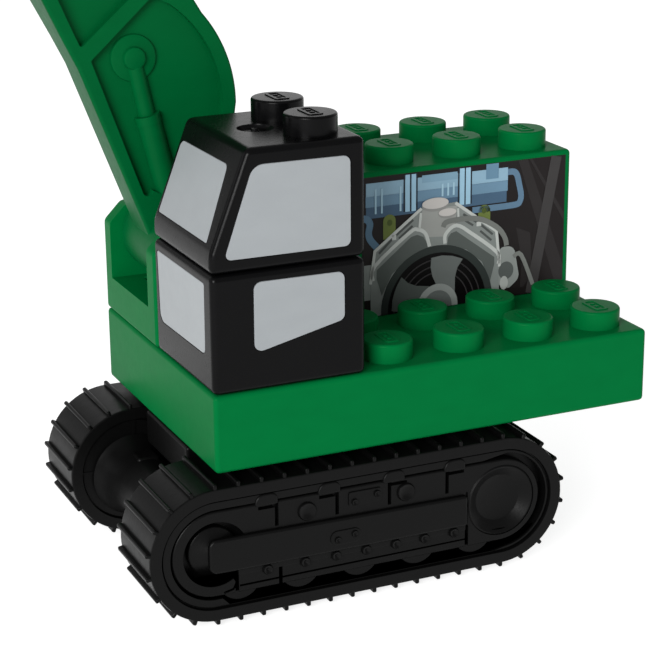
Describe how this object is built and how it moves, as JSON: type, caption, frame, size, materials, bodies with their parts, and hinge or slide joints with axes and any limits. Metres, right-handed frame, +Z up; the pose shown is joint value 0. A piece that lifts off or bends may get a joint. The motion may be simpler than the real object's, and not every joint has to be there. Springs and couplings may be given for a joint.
{
  "type": "toy excavator",
  "caption": "Brick-built toy crawler excavator: studded deck that slews on a moulded track base, sloped cab, engine brick, and a hinged boom, stick and bucket.",
  "frame": {"origin": "middle of the toy's footprint box, on the surface that it stands on", "axes": "+X forward, the way the tracks run and the arm reaches; +Y to the left, the side of the cab; +Z up"},
  "size_m": [0.1024, 0.043, 0.1027],
  "materials": {
    "green_abs": "satin moulded ABS",
    "black_abs": "satin moulded ABS",
    "track_black": "moulded, slightly duller than the bricks",
    "window_print": "flat grey pad print",
    "engine_print": "pad print in greys, blue and olive",
    "axle_steel": "drawn steel wire"
  },
  "bodies": {
    "crawler_base": {"chassis": "track_black", "slew_pin": "track_black", "track_left": "track_black", "track_right": "track_black", "side_frame_left": "track_black", "side_frame_right": "track_black", "track_beam_left": "track_black", "track_beam_right": "track_black", "idler_cap_left": "track_black", "idler_cap_right": "track_black"},
    "front_rollers": {"axle_front": "axle_steel", "roller_front_left": "track_black", "roller_front_right": "track_black"},
    "rear_rollers": {"axle_rear": "axle_steel", "roller_rear_left": "track_black", "roller_rear_right": "track_black"},
    "upper_body": {"deck": "green_abs", "cab_lower": "black_abs", "cab_upper": "black_abs", "window_side_lower": "window_print", "window_front_lower": "window_print", "window_side_upper": "window_print", "windshield": "window_print", "engine_brick": "green_abs", "engine_panel": "engine_print", "boom_bracket": "green_abs", "boom_pin": "green_abs"},
    "boom_arm": {"boom": "green_abs", "stick_pin": "black_abs"},
    "stick_arm": {"stick": "green_abs", "bucket_pin": "black_abs"},
    "bucket_scoop": {"bucket": "black_abs"}
  },
  "joints": [
    {"name": "slew", "type": "hinge", "parent": "crawler_base", "child": "upper_body", "pos_m": [-0.01039, 0, 0.0196], "axis": [0, 0, 1], "continuous": true},
    {"name": "boom_lift", "type": "hinge", "parent": "upper_body", "child": "boom_arm", "pos_m": [0.00201, -0.01, 0.0402], "axis": [0, 1, 0], "range_deg": [-20, 40]},
    {"name": "stick_swing", "type": "hinge", "parent": "boom_arm", "child": "stick_arm", "pos_m": [0.02421, -0.01, 0.0941], "axis": [0, 1, 0], "range_deg": [-50, 12]},
    {"name": "bucket_curl", "type": "hinge", "parent": "stick_arm", "child": "bucket_scoop", "pos_m": [0.04299, -0.01, 0.05878], "axis": [0, 1, 0], "range_deg": [-60, 30]},
    {"name": "front_axle_spin", "type": "hinge", "parent": "crawler_base", "child": "front_rollers", "pos_m": [0.00161, 0, 0.0045], "axis": [0, 1, 0], "continuous": true},
    {"name": "rear_axle_spin", "type": "hinge", "parent": "crawler_base", "child": "rear_rollers", "pos_m": [-0.02239, 0, 0.0045], "axis": [0, 1, 0], "continuous": true}
  ]
}
